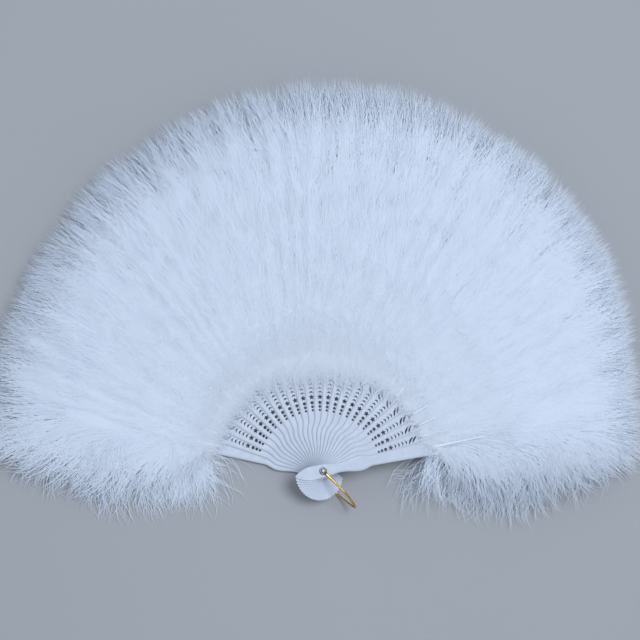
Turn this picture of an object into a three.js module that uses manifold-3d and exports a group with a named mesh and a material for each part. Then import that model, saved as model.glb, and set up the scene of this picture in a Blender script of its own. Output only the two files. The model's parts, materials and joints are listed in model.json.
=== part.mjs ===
// A folding feather fan, opened and lying on a table.
// Thin moulded sticks spread in the XY plane about a rivet on the Z axis, +Y runs from the rivet
// to the middle of the fan, and z = 0 is the table. Each stick carries one downy plume.
// Sizes are in millimetres and angles in degrees.
import * as THREE from "three";
import { mergeVertices } from "three/addons/utils/BufferGeometryUtils.js";
import Module from "manifold-3d";

const wasm = await Module();
wasm.setup();

// Stack of sticks, from the rear guard on the left to the front guard on the right.
const STICK_COUNT = 25;
const OPEN_ANGLE = 154;
const STAVE_THICKNESS = 0.8;
const GUARD_THICKNESS = 1.2;
const STICK_PLAY = 0.1;

// Outline of a stick: distances run from the rivet, and widths are half widths.
const TAIL_LENGTH = 23;
const TAIL_TIP_HALF = 0.6;
const TAIL_HALF = 5.6;
const TAIL_SHOULDER = 9;
const NECK_DISTANCE = 14;
const NECK_HALF = 3.9;
const BULGE_DISTANCE = 32;
const BULGE_HALF = 6.2;
const NOTCH_DISTANCE = 42.4;
const NOTCH_HALF = 4.2;
const BLADE_HALF = 6.2;
const SHOULDER_SLOPE = 1.5;
const STRIP_LENGTH = 74;
const STRIP_HALF = 3;
const NECK_STEPS = 2;
const CURVE_STEPS = 3;
const CUT_MARGIN = 0.5;

// Pierced pattern of a stave, in order from the notch outwards. Each gap is the plain stretch
// before a motif, and the last one ends the blade.
const DOT_MARGIN = 6;
const DOT_GAP = 0.7;
const DOT_COUNT = 3;
const DOT_RADIUS = 0.95;
const DOT_GROWTH = 0.2;
const DOT_SIDES = 6;
const STAR_GAP = 0.9;
const STAR_RADIUS = 2.3;
const STAR_INNER_RADIUS = 1.2;
const STAR_POINTS = 5;
const CRESCENT_GAP = 0.7;
const CRESCENT_SPACING = 1.4;
const CRESCENT_COUNT = 4;
const CRESCENT_HALF_SPAN = 1.9;
const CRESCENT_RISE = 3.6;
const CRESCENT_HOLLOW = 1.3;
const CRESCENT_SLANT = 90;
const LEAF_GAP = 1;
const LEAF_PITCH = 3.3;
const LEAF_COUNT = 2;
const LEAF_HALF_SPAN = 3.6;
const LEAF_RISE = 2.7;
const LEAF_HOLLOW = -0.4;
const LEAF_SLANT = 44;
const ROSETTE_GAP = 0.6;
const ROSETTE_RADIUS = 1.4;
const ROSETTE_SIDES = 6;
const BLADE_MARGIN = 4.8;

// Rivet through the stack, with a small head at each end.
const PIN_RADIUS = 1.2;
const PIN_CLEARANCE = 0.3;
const HEAD_RADIUS = 2;
const HEAD_THICKNESS = 0.7;
const HEAD_DOME = 0.35;
const HEAD_PLAY = 0.1;
const PIN_SIDES = 12;
const HOLE_SIDES = 8;

// Wire bail that hangs on the rivet, with a flat eye at the end of each leg.
const WIRE_DIAMETER = 1.7;
const WIRE_SIDES = 8;
const EYE_THICKNESS = 1;
const EYE_RIM = 1;
const EYE_SIDES = 12;
const EYE_PLAY = 0.1;
const BAIL_LOOP = 18;
const BAIL_CLEARANCE = 1;
const BAIL_SHOULDER = 3;
const BAIL_NOSE = 5;
const BAIL_STEPS = 6;
const BAIL_ANGLE = -43;

// Ribbon glued behind the strips, which sets how far the fan opens.
const RIBBON_WIDTH = 3.4;
const RIBBON_THICKNESS = 0.3;
const RIBBON_SEAT = 0.1;
const RIBBON_EDGE_GAP = 0.5;
const RIBBON_OVERRUN = 0.5;

// Plumes: a quill on the front of the strip, and down on both sides of it.
const QUILL_RADIUS = 0.9;
const QUILL_LENGTH = 14;
const QUILL_NECK = 0.5;
const QUILL_SIDES = 6;
const SEAT_GAP = 0.3;
const PLUME_GAP = 0.35;
const PLUME_RIBBON_GAP = 0.6;
const TIP_RADIUS = 309;
const GUARD_TIP_DROP = 42;
const TIP_LEAN = 35;
const TUFT_HEIGHT = 2;
const TUFT_TURN = 137.5;
const ROOT_RISE = 3;
const FLUFF_RISE = 20;
const TIP_RISE = 9;
const TIP_LIFT = 0.25;
const TIP_NARROWING = 0.45;
const RIM_ROUNDING = 14;
const CROWN_SHARE = 0.45;
const SIDE_SHARE = 0.5;
const SWELL_STATIONS = [0, 0.2, 0.4];
const SWELL_SHARE = 0.4;
const LOBE_ROOT = 30;
const LOBE_WIDTH = 70;
const LOBE_POWER = 6;

const pitch = OPEN_ANGLE / (STICK_COUNT - 1);
const lastStick = STICK_COUNT - 1;
const bailReach = TAIL_LENGTH + BAIL_LOOP;
const pattern = piercedPattern();
const stripStart = pattern.bladeEnd + SHOULDER_SLOPE;
const stripEnd = stripStart + STRIP_LENGTH;
const holeRadius = PIN_RADIUS + PIN_CLEARANCE;
const ribbonInner = Math.hypot(stripStart, BLADE_HALF) + RIBBON_EDGE_GAP;
const ribbonOuter = ribbonInner + RIBBON_WIDTH;
const plumeRoot = ribbonOuter + PLUME_RIBBON_GAP;

// Heights of the stack, built up from the table.
const rearEyeLevel = HEAD_THICKNESS + HEAD_PLAY;
const rearGuardLevel = rearEyeLevel + Math.max(WIRE_DIAMETER, EYE_THICKNESS) + EYE_PLAY;
const sticks = [];
let level = rearGuardLevel;
for (let i = 0; i < STICK_COUNT; i += 1) {
  const isGuard = i === 0 || i === lastStick;
  const thickness = isGuard ? GUARD_THICKNESS : STAVE_THICKNESS;
  sticks.push({ i, isGuard, thickness, level, angle: 90 + OPEN_ANGLE / 2 - i * pitch });
  level += thickness + STICK_PLAY;
}
const frontEyeLevel = sticks[lastStick].level + GUARD_THICKNESS + EYE_PLAY;
const frontHeadLevel = frontEyeLevel + EYE_THICKNESS + HEAD_PLAY;

function radians(degrees) {
  return THREE.MathUtils.degToRad(degrees);
}

// A geometry as a solid that can be joined or cut.
function solidOf(geometry) {
  const bare = geometry.clone();
  bare.deleteAttribute("normal");
  bare.deleteAttribute("uv");
  const merged = mergeVertices(bare, 1e-4);
  return new wasm.Manifold(
    new wasm.Mesh({
      numProp: 3,
      vertProperties: merged.attributes.position.array,
      triVerts: new Uint32Array(merged.index.array),
    }),
  );
}

function geometryOf(solid) {
  const cut = solid.getMesh();
  const geometry = new THREE.BufferGeometry();
  geometry.setAttribute("position", new THREE.BufferAttribute(cut.vertProperties, 3));
  geometry.setIndex(new THREE.BufferAttribute(cut.triVerts, 1));
  geometry.computeVertexNormals();
  return geometry;
}

// A closed skin through rings of points, which run right-handed about the way of travel.
// Both ends are closed by flat caps.
function loft(rings) {
  const sides = rings[0].length;
  const points = rings.flat();
  const lastRing = points.length - sides;
  const faces = [];
  for (let start = 0; start < lastRing; start += sides) {
    for (let k = 0; k < sides; k += 1) {
      const a = start + k;
      const b = start + ((k + 1) % sides);
      faces.push(a, b, b + sides, a, b + sides, a + sides);
    }
  }
  for (let k = 1; k + 1 < sides; k += 1) {
    faces.push(0, k + 1, k, lastRing, lastRing + k, lastRing + k + 1);
  }
  const geometry = new THREE.BufferGeometry().setFromPoints(points);
  geometry.setIndex(faces);
  geometry.computeVertexNormals();
  return geometry;
}

// Corners of a regular polygon about a point on the stick's axis.
function polygon(distance, radius, sides) {
  return Array.from({ length: sides }, (_, k) => {
    const turn = radians((360 * k) / sides);
    return new THREE.Vector2(distance + radius * Math.cos(turn), radius * Math.sin(turn));
  });
}

// A round hole drawn as a polygon that stays outside the circle.
function roundHole(radius, sides) {
  return polygon(0, radius / Math.cos(Math.PI / sides), sides);
}

function star(distance, outer, inner, points) {
  return Array.from({ length: 2 * points }, (_, k) => {
    const turn = radians((180 * k) / points);
    const radius = k % 2 ? inner : outer;
    return new THREE.Vector2(distance + radius * Math.cos(turn), radius * Math.sin(turn));
  });
}

// A lune between two arcs that share their tips. The tips lie on a line at the given slant to
// the stick, and both arcs bulge to one side of it, by rise and by hollow at their control points.
function lune(distance, halfSpan, rise, hollow, slant) {
  const along = new THREE.Vector2(Math.cos(radians(slant)), Math.sin(radians(slant)));
  const across = new THREE.Vector2(along.y, -along.x);
  const place = (run, bulge) =>
    new THREE.Vector2(distance, 0).addScaledVector(along, run).addScaledVector(across, bulge);
  const tail = place(-halfSpan, 0);
  const tip = place(halfSpan, 0);
  const outer = new THREE.QuadraticBezierCurve(tail, place(0, rise), tip);
  const inner = new THREE.QuadraticBezierCurve(tip, place(0, hollow), tail);
  return [...outer.getPoints(CURVE_STEPS), inner.getPoint(0.5)];
}

// An S-shaped stretch of a stick's edge, level at both of its ends.
function easedEdge(start, end, steps) {
  const middle = (start.x + end.x) / 2;
  const curve = new THREE.CubicBezierCurve(
    start,
    new THREE.Vector2(middle, start.y),
    new THREE.Vector2(middle, end.y),
    end,
  );
  return curve.getPoints(steps).slice(1);
}

// The waisted stick: ogive tail, neck, bulge, notch, widening blade, and the strip for the plume.
function stickOutline() {
  const tailTip = new THREE.Vector2(-TAIL_LENGTH, TAIL_TIP_HALF);
  const tailBroad = new THREE.Vector2(-TAIL_SHOULDER, TAIL_HALF);
  const pivot = new THREE.Vector2(0, TAIL_HALF);
  const neck = new THREE.Vector2(NECK_DISTANCE, NECK_HALF);
  const bulge = new THREE.Vector2(BULGE_DISTANCE, BULGE_HALF);
  const notch = new THREE.Vector2(NOTCH_DISTANCE, NOTCH_HALF);
  const ogiveCorner = new THREE.Vector2(-(TAIL_LENGTH + TAIL_SHOULDER) / 2, TAIL_HALF);
  const ogive = new THREE.QuadraticBezierCurve(tailTip, ogiveCorner, tailBroad);
  const edge = [
    ...ogive.getPoints(CURVE_STEPS),
    ...easedEdge(pivot, neck, NECK_STEPS),
    ...easedEdge(neck, bulge, CURVE_STEPS),
    ...easedEdge(bulge, notch, CURVE_STEPS),
    new THREE.Vector2(pattern.bladeEnd, BLADE_HALF),
    new THREE.Vector2(stripStart, STRIP_HALF),
    new THREE.Vector2(stripEnd, STRIP_HALF),
  ];
  const mirrored = edge.map((point) => new THREE.Vector2(point.x, -point.y));
  return [...mirrored, ...edge.reverse()];
}

// The motifs of a blade, each set after the one before it, and where the blade then ends.
function piercedPattern() {
  const holes = [];
  let edge = NOTCH_DISTANCE + DOT_MARGIN - DOT_GAP;
  for (let k = 0; k < DOT_COUNT; k += 1) {
    const radius = DOT_RADIUS + k * DOT_GROWTH;
    holes.push(polygon(edge + DOT_GAP + radius, radius, DOT_SIDES));
    edge += DOT_GAP + 2 * radius;
  }
  holes.push(star(edge + STAR_GAP + STAR_RADIUS, STAR_RADIUS, STAR_INNER_RADIUS, STAR_POINTS));
  edge += STAR_GAP + 2 * STAR_RADIUS + CRESCENT_GAP - CRESCENT_SPACING;
  for (let k = 0; k < CRESCENT_COUNT; k += 1) {
    const tips = edge + CRESCENT_SPACING;
    holes.push(lune(tips, CRESCENT_HALF_SPAN, CRESCENT_RISE, CRESCENT_HOLLOW, CRESCENT_SLANT));
    edge = tips + CRESCENT_RISE / 2;
  }
  const leafReach = LEAF_HALF_SPAN * Math.cos(radians(LEAF_SLANT));
  const firstLeaf = edge + LEAF_GAP + leafReach;
  for (let k = 0; k < LEAF_COUNT; k += 1) {
    const middle = firstLeaf + k * LEAF_PITCH;
    holes.push(lune(middle, LEAF_HALF_SPAN, -LEAF_RISE, -LEAF_HOLLOW, LEAF_SLANT));
    edge = middle + leafReach;
  }
  holes.push(polygon(edge + ROSETTE_GAP + ROSETTE_RADIUS, ROSETTE_RADIUS, ROSETTE_SIDES));
  edge += ROSETTE_GAP + 2 * ROSETTE_RADIUS;
  return { holes, bladeEnd: edge + BLADE_MARGIN };
}

// A flat plate of the given outline, with its lower face at the given height.
function plateGeometry(outline, thickness, height) {
  const shape = new THREE.Shape(outline);
  const plate = new THREE.ExtrudeGeometry(shape, { depth: thickness, bevelEnabled: false });
  return plate.translate(0, 0, height);
}

// A stick blank, drilled for the rivet and, unless it is a guard, pierced with the pattern.
function stickGeometry(stick) {
  const holes = [roundHole(holeRadius, HOLE_SIDES)];
  if (!stick.isGuard) {
    holes.push(...pattern.holes);
  }
  const depth = stick.thickness + 2 * CUT_MARGIN;
  const cuts = holes.map((hole) => solidOf(plateGeometry(hole, depth, -CUT_MARGIN)));
  const blank = solidOf(plateGeometry(stickOutline(), stick.thickness, 0));
  return geometryOf(cuts.reduce((solid, cut) => solid.subtract(cut), blank));
}

// How far the down of a guard's plume spreads past the guard's axis, by share of its length.
function lobeWidth(share) {
  return LOBE_WIDTH - (LOBE_WIDTH - LOBE_ROOT) * (1 - share) ** LOBE_POWER;
}

// How high the down stands over the front of its stick, by share of its length.
function downRise(share) {
  return ROOT_RISE + (FLUFF_RISE - ROOT_RISE) * THREE.MathUtils.smoothstep(share, 0, SWELL_SHARE);
}

// Reach of a plume from the rivet: shorter towards the guards, fuller in the right half than in
// the left, and slightly uneven from one plume to the next.
function plumeTip(stick) {
  const side = (2 * stick.i) / lastStick - 1;
  const drop = GUARD_TIP_DROP * side ** 2;
  const lean = TIP_LEAN * side * (1 - side ** 2);
  const tuft = TUFT_HEIGHT * Math.sin(radians(TUFT_TURN * stick.i));
  return TIP_RADIUS - drop + lean + tuft;
}

// Section of the down at a distance along the stick, in the stick's own frame: flat where it
// lies on the table, upright where it meets the next plume, and crowned on top.
function plumeRing(stick, distance, rise, lift, narrowing) {
  const share = (distance - plumeRoot) / (plumeTip(stick) - plumeRoot);
  const sector = distance * Math.tan(radians(pitch / 2)) - PLUME_GAP / 2;
  const outward = Math.max(lobeWidth(share), sector);
  const left = narrowing * (stick.i === 0 ? outward : sector);
  const right = narrowing * (stick.i === lastStick ? outward : sector);
  const height = stick.level + stick.thickness + rise;
  const low = lift * height - stick.level;
  const side = low + SIDE_SHARE * (1 - lift) * height;
  const top = stick.thickness + rise;
  return [
    new THREE.Vector3(distance, -right, low),
    new THREE.Vector3(distance, left, low),
    new THREE.Vector3(distance, left, side),
    new THREE.Vector3(distance, CROWN_SHARE * left, top),
    new THREE.Vector3(distance, -CROWN_SHARE * right, top),
    new THREE.Vector3(distance, -right, side),
  ];
}

// Section of the quill, which lies on the front face of the blade and strip. It starts at the
// lower corner that the first corner of a section of the down is joined to.
function quillRing(stick, distance) {
  const middle = stick.thickness + SEAT_GAP + QUILL_RADIUS;
  return Array.from({ length: QUILL_SIDES }, (_, k) => {
    const turn = radians(270 + (360 * (k - 0.5)) / QUILL_SIDES);
    const across = QUILL_RADIUS * Math.cos(turn);
    return new THREE.Vector3(distance, across, middle + QUILL_RADIUS * Math.sin(turn));
  });
}

// One plume: a quill that swells into the down, with a blind slot for the stick's strip.
function plumeGeometry(stick) {
  const tip = plumeTip(stick);
  const swell = SWELL_STATIONS.map((share) =>
    plumeRing(stick, plumeRoot + share * (tip - plumeRoot), downRise(share), 0, 1),
  );
  const down = loft([
    quillRing(stick, plumeRoot - QUILL_LENGTH),
    quillRing(stick, plumeRoot - QUILL_NECK),
    ...swell,
    plumeRing(stick, tip - RIM_ROUNDING, (FLUFF_RISE + TIP_RISE) / 2, 0, 1),
    plumeRing(stick, tip, TIP_RISE, TIP_LIFT, TIP_NARROWING),
  ]);
  const slotLength = stripEnd + SEAT_GAP - plumeRoot + QUILL_NECK;
  const slotWidth = 2 * (STRIP_HALF + SEAT_GAP);
  const slotHeight = stick.thickness + 2 * SEAT_GAP;
  const slot = new THREE.BoxGeometry(slotLength, slotWidth, slotHeight);
  slot.translate(plumeRoot - QUILL_NECK + slotLength / 2, 0, stick.thickness / 2);
  return geometryOf(solidOf(down).subtract(solidOf(slot)));
}

function pinGeometry() {
  const top = frontHeadLevel + HEAD_THICKNESS;
  const profile = [
    new THREE.Vector2(0, 0),
    new THREE.Vector2(HEAD_RADIUS, 0),
    new THREE.Vector2(HEAD_RADIUS, HEAD_THICKNESS),
    new THREE.Vector2(PIN_RADIUS, HEAD_THICKNESS),
    new THREE.Vector2(PIN_RADIUS, frontHeadLevel),
    new THREE.Vector2(HEAD_RADIUS, frontHeadLevel),
    new THREE.Vector2(HEAD_RADIUS, top - HEAD_DOME),
    new THREE.Vector2(HEAD_RADIUS - HEAD_DOME, top),
    new THREE.Vector2(0, top),
  ];
  return new THREE.LatheGeometry(profile, PIN_SIDES).rotateX(Math.PI / 2);
}

// A flat eye of the bail, drilled for the rivet.
function eyeSolid(height) {
  const disc = plateGeometry(polygon(0, HEAD_RADIUS + EYE_RIM, EYE_SIDES), EYE_THICKNESS, height);
  const depth = EYE_THICKNESS + 2 * CUT_MARGIN;
  const drill = plateGeometry(roundHole(holeRadius, HOLE_SIDES), depth, height - CUT_MARGIN);
  return solidOf(disc).subtract(solidOf(drill));
}

// Round section of the wire at a point of its path, which lies in the XZ plane.
function wireRing(point, tangent) {
  const radius = WIRE_DIAMETER / 2 / Math.cos(Math.PI / WIRE_SIDES);
  return Array.from({ length: WIRE_SIDES }, (_, k) => {
    const turn = (2 * Math.PI * (k + 0.5)) / WIRE_SIDES;
    const across = radius * Math.cos(turn);
    const out = radius * Math.sin(turn);
    return new THREE.Vector3(point.x - out * tangent.y, across, point.y + out * tangent.x);
  });
}

// The bail: two legs, one over the front guard and one under the rear guard, which run straight
// past the tails and then draw together into a narrow nose.
function bailGeometry() {
  const front = frontEyeLevel + WIRE_DIAMETER / 2;
  const rear = rearEyeLevel + WIRE_DIAMETER / 2;
  const middle = (front + rear) / 2;
  const legStart = HEAD_RADIUS + SEAT_GAP;
  const legEnd = TAIL_LENGTH + BAIL_CLEARANCE;
  const shoulder = legEnd + BAIL_SHOULDER;
  const bends = [
    new THREE.CubicBezierCurve(
      new THREE.Vector2(bailReach, middle),
      new THREE.Vector2(bailReach, middle + BAIL_NOSE),
      new THREE.Vector2(shoulder, front),
      new THREE.Vector2(legEnd, front),
    ),
    new THREE.CubicBezierCurve(
      new THREE.Vector2(bailReach, middle),
      new THREE.Vector2(bailReach, middle - BAIL_NOSE),
      new THREE.Vector2(shoulder, rear),
      new THREE.Vector2(legEnd, rear),
    ),
  ];
  const rings = [wireRing(new THREE.Vector2(legStart, front), new THREE.Vector2(1, 0))];
  for (let k = BAIL_STEPS; k > 0; k -= 1) {
    const t = k / BAIL_STEPS;
    rings.push(wireRing(bends[0].getPoint(t), bends[0].getTangent(t).negate()));
  }
  for (let k = 0; k <= BAIL_STEPS; k += 1) {
    const t = k / BAIL_STEPS;
    rings.push(wireRing(bends[1].getPoint(t), bends[1].getTangent(t)));
  }
  rings.push(wireRing(new THREE.Vector2(legStart, rear), new THREE.Vector2(-1, 0)));
  const wire = solidOf(loft(rings));
  return geometryOf(wire.add(eyeSolid(frontEyeLevel)).add(eyeSolid(rearEyeLevel)));
}

// The ribbon runs flat behind each strip and climbs between the strips.
function ribbonGeometry() {
  const flatHalf = THREE.MathUtils.radToDeg((STRIP_HALF + RIBBON_OVERRUN) / ribbonInner);
  const rings = sticks.flatMap((stick) => {
    const top = stick.level - RIBBON_SEAT;
    const bottom = top - RIBBON_THICKNESS;
    return [stick.angle + flatHalf, stick.angle - flatHalf].map((angle) => {
      const x = Math.cos(radians(angle));
      const y = Math.sin(radians(angle));
      return [
        new THREE.Vector3(ribbonInner * x, ribbonInner * y, bottom),
        new THREE.Vector3(ribbonOuter * x, ribbonOuter * y, bottom),
        new THREE.Vector3(ribbonOuter * x, ribbonOuter * y, top),
        new THREE.Vector3(ribbonInner * x, ribbonInner * y, top),
      ];
    });
  });
  return loft(rings);
}

const finishes = {
  plastic: { color: 0xe8edf7, roughness: 0.35, metalness: 0 },
  down: { color: 0xf1f4fc, roughness: 0.9, metalness: 0 },
  brass: { color: 0xc79a3e, roughness: 0.3, metalness: 1 },
  steel: { color: 0xc4c8ce, roughness: 0.3, metalness: 1 },
  ribbon: { color: 0xe6e9f0, roughness: 0.6, metalness: 0 },
};

function piece(name, geometry, finish) {
  const mesh = new THREE.Mesh(geometry, new THREE.MeshStandardMaterial(finishes[finish]));
  mesh.name = name;
  return mesh;
}

function guardName(stick) {
  return stick.i === 0 ? "rear_guard" : "front_guard";
}

function stickName(stick) {
  return stick.isGuard ? guardName(stick) : "stave_" + String(stick.i).padStart(2, "0");
}

function plumeName(stick) {
  return stick.isGuard ? guardName(stick) + "_plume" : "plume_" + String(stick.i).padStart(2, "0");
}

const fan = new THREE.Group();
for (const stick of sticks) {
  const spoke = new THREE.Group();
  spoke.rotation.z = radians(stick.angle);
  spoke.position.z = stick.level;
  spoke.add(piece(stickName(stick), stickGeometry(stick), "plastic"));
  spoke.add(piece(plumeName(stick), plumeGeometry(stick), "down"));
  fan.add(spoke);
}
fan.add(piece("pivot_pin", pinGeometry(), "steel"));
const bail = piece("bail", bailGeometry(), "brass");
bail.rotation.z = radians(BAIL_ANGLE);
fan.add(bail);
fan.add(piece("spacing_ribbon", ribbonGeometry(), "ribbon"));

export default fan;
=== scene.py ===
"""A folding feather fan: white moulded sticks on one rivet, a plume of down on each, a wire bail."""

import json

import bpy
import numpy as np
from mathutils import Matrix, Vector
from mathutils.geometry import tessellate_polygon


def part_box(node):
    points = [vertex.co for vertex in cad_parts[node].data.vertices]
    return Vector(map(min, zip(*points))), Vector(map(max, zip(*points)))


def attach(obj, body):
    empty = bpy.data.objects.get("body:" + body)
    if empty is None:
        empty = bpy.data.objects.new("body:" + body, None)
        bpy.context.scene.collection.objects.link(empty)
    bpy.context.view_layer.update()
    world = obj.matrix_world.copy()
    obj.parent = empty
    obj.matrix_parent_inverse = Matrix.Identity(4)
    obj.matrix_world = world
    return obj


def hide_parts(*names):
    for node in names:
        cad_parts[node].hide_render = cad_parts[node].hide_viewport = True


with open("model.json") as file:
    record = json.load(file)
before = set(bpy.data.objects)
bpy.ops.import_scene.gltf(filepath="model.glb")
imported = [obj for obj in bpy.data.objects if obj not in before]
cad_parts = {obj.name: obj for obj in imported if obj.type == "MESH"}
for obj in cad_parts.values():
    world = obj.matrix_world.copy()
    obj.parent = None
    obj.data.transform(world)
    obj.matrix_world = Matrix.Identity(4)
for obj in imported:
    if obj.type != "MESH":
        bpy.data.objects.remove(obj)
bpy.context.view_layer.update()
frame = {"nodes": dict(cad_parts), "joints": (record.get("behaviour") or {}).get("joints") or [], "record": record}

# Sticks: 23 pierced staves between two plain, thicker guards, moulded in white satin plastic.
# Each is a flat bar with an ogive tail, a neck, a bulge, a notch and a blade that narrows to a
# strip for its plume. They are threaded on one rivet, each over the one to its left.
TAIL_LENGTH = 0.0230
TAIL_SHOULDER = 0.0090
NECK_AT = 0.0140
BULGE_AT = 0.0320
NOTCH_AT = 0.0424
BLADE_END = 0.0920
STRIP_START = 0.0935
STRIP_END = 0.1675
TAIL_TIP_HALF = 0.0006
TAIL_HALF = 0.0056
NECK_HALF = 0.0039
BULGE_HALF = 0.0062
NOTCH_HALF = 0.0042
BLADE_HALF = 0.0062
STRIP_HALF = 0.0030
OUTLINE_STEPS = 14
PIN_HOLE = 0.0015
PIN_HOLE_CORNERS = 24
STICK_EDGE = 0.00026
STICK_EDGE_STEPS = 6
CROWN_WIDTH = 0.0020
CROWN_SHARE = 0.4
CROWN_HEIGHT = 0.00050
TAIL_CROWN_SHARE = 0.2
HOLE_EDGE = 0.00012
HOLE_EDGE_STEPS = 3
LUNE_STEPS = 9
# The motifs, by distance from the rivet. A dot also has a radius and a count of corners, a star an
# outer and an inner radius, and the rosette a radius, corners, the share it waves by, and petals.
DOTS = ((0.04935, 0.00095, 16), (0.05215, 0.00115, 16), (0.05535, 0.00135, 18))
STAR = (0.0599, 0.0023, 0.0012)
CRESCENTS_AT = 0.0629 + 0.0032 * np.arange(4)
LEAVES_AT = (0.0779, 0.0812)
ROSETTE = (0.0858, 0.0012, 30, 0.2, 5)
# A lune's half span, the rises of its two sides, and the slant of its chord.
CRESCENT = (0.0019, 0.0018, 0.00065, np.pi / 2)
LEAF = (0.0036, -0.00135, 0.0002, np.radians(44))
PLASTIC = (0.66, 0.69, 0.74, 1.0)
PLASTIC_SHADE = (0.61, 0.64, 0.70, 1.0)

guard_names = ("rear_guard", "front_guard")
stave_names = sorted(name for name in frame["nodes"] if name.startswith("stave_"))
stick_names = [guard_names[0], *stave_names, guard_names[1]]
body_of = {}
for body_name, members in frame["record"]["behaviour"]["bodies"].items():
    body_of.update({member: body_name for member in members})
fold = next(joint for joint in frame["joints"] if joint["name"] == "fold")
open_angle = np.radians(fold["range_deg"][1])
pitch = open_angle / (len(stick_names) - 1)
sticks = []
for place, name in enumerate(stick_names):
    low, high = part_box(name)
    angle = np.pi / 2 + open_angle / 2 - place * pitch
    sticks.append({"name": name, "place": place, "angle": angle, "level": low.z, "top": high.z})


def new_object(name, data):
    """An object with its data, put into the scene."""
    thing = bpy.data.objects.new(name, data)
    bpy.context.scene.collection.objects.link(thing)
    return thing


def new_piece(name, points, quads, triangles, finish, smooth=(False, False)):
    """A mesh object at the origin, from an array of points and arrays of four- and three-cornered
    faces. smooth gives, for all quads and then all triangles, whether they are shaded smooth."""
    mesh = bpy.data.meshes.new(name)
    mesh.vertices.add(len(points))
    mesh.vertices.foreach_set("co", np.asarray(points, np.float32).ravel())
    corners = np.concatenate([np.ravel(quads), np.ravel(triangles)]).astype(np.int32)
    counts = np.concatenate([np.full(len(quads), 4), np.full(len(triangles), 3)])
    mesh.loops.add(len(corners))
    mesh.loops.foreach_set("vertex_index", corners)
    mesh.polygons.add(len(counts))
    starts = np.concatenate([[0], np.cumsum(counts)[:-1]]).astype(np.int32)
    mesh.polygons.foreach_set("loop_start", starts)
    shaded = np.concatenate([np.full(len(quads), smooth[0]), np.full(len(triangles), smooth[1])])
    mesh.polygons.foreach_set("use_smooth", shaded)
    mesh.update(calc_edges=True)
    mesh.materials.append(finish)
    return new_object(name, mesh)


def ring_faces(index):
    """Four-cornered faces between each row of a grid of point numbers and the next row. Each row is a
    ring, so its last point is beside its first."""
    beside = np.roll(index, -1, axis=1)
    return np.stack([index[:-1], beside[:-1], beside[1:], index[1:]], axis=-1).reshape(-1, 4)


def turned(points, angle):
    """Points turned about the Z axis by an angle: x and y are mixed by its cosine and sine."""
    cos, sin = np.cos(angle), np.sin(angle)
    x, y, z = points[..., 0], points[..., 1], points[..., 2]
    return np.stack([cos * x - sin * y, sin * x + cos * y, z], axis=-1)


def full_turn(count):
    """Angles of a full turn in even steps, without the last, which is the first again."""
    return np.linspace(0, 2 * np.pi, count, endpoint=False)


def eased(start, end, share):
    """A value that goes from start to end along half a cosine wave."""
    return start + (end - start) * (1 - np.cos(np.pi * share)) / 2


def stick_outline():
    """Closed outline, anticlockwise. The half width is a parabola over the tail, half cosine waves
    over neck, bulge and notch, and straight lines over blade, shoulder and strip."""
    share = np.linspace(0, 1, OUTLINE_STEPS)
    along = [-TAIL_LENGTH + (TAIL_LENGTH - TAIL_SHOULDER) * share]
    half = [TAIL_HALF - (TAIL_HALF - TAIL_TIP_HALF) * (1 - share) ** 2]
    waves = [
        (0, NECK_AT, TAIL_HALF, NECK_HALF),
        (NECK_AT, BULGE_AT, NECK_HALF, BULGE_HALF),
        (BULGE_AT, NOTCH_AT, BULGE_HALF, NOTCH_HALF),
    ]
    for begin, finish, half_begin, half_finish in waves:
        along.append(begin + (finish - begin) * share[1:])
        half.append(eased(half_begin, half_finish, share[1:]))
    along.append(np.array([BLADE_END, STRIP_START, STRIP_END]))
    half.append(np.array([BLADE_HALF, STRIP_HALF, STRIP_HALF]))
    right = np.stack([np.concatenate(along), -np.concatenate(half)], axis=1)
    left = right[::-1] * [1, -1]
    return np.concatenate([right, left])


def ring_hole(distance, radius, count, wave=0.0, lobes=1):
    """Clockwise hole about a point of the axis, with a radius that waves by a share of itself: a
    cosine with as many crests as there are lobes."""
    turn = -full_turn(count)
    reach = radius * (1 + wave * np.cos(lobes * turn))
    return np.stack([distance + reach * np.cos(turn), reach * np.sin(turn)], axis=1)


def star_hole(distance, outer, inner):
    """Clockwise five-pointed star, with its ten corners on two circles by turns."""
    turn = -np.arange(10) * np.pi / 5
    reach = np.where(np.arange(10) % 2, inner, outer)
    return np.stack([distance + reach * np.cos(turn), reach * np.sin(turn)], axis=1)


def lune_hole(distance, half_span, rise, hollow, slant):
    """Clockwise lune between two parabolas over one chord, which lies at a slant to the axis. Twice
    its signed area tells whether its corners have to be reversed."""
    run = np.linspace(-1, 1, LUNE_STEPS)
    bulge = 1 - run**2
    outer = np.stack([run * half_span, rise * bulge], axis=1)
    inner = np.stack([run * half_span, hollow * bulge], axis=1)[::-1][1:-1]
    x, y = np.concatenate([outer, inner]).T
    cos, sin = np.cos(slant), np.sin(slant)
    loop = np.stack([cos * x + sin * y, sin * x - cos * y], axis=1)
    after = np.roll(loop, -1, axis=0)
    area = (loop[:, 0] * after[:, 1] - loop[:, 1] * after[:, 0]).sum()
    loop[:, 0] += distance
    return loop if area < 0 else loop[::-1]


def blade_holes():
    """The motifs of a blade from the notch outwards: dots, a star, crescents in even steps with their
    chords across the blade, two slanted leaves and a rosette."""
    dots = [ring_hole(*dot) for dot in DOTS]
    crescents = [lune_hole(distance, *CRESCENT) for distance in CRESCENTS_AT]
    leaves = [lune_hole(distance, *LEAF) for distance in LEAVES_AT]
    return [*dots, star_hole(*STAR), *crescents, *leaves, ring_hole(*ROSETTE)]


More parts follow.
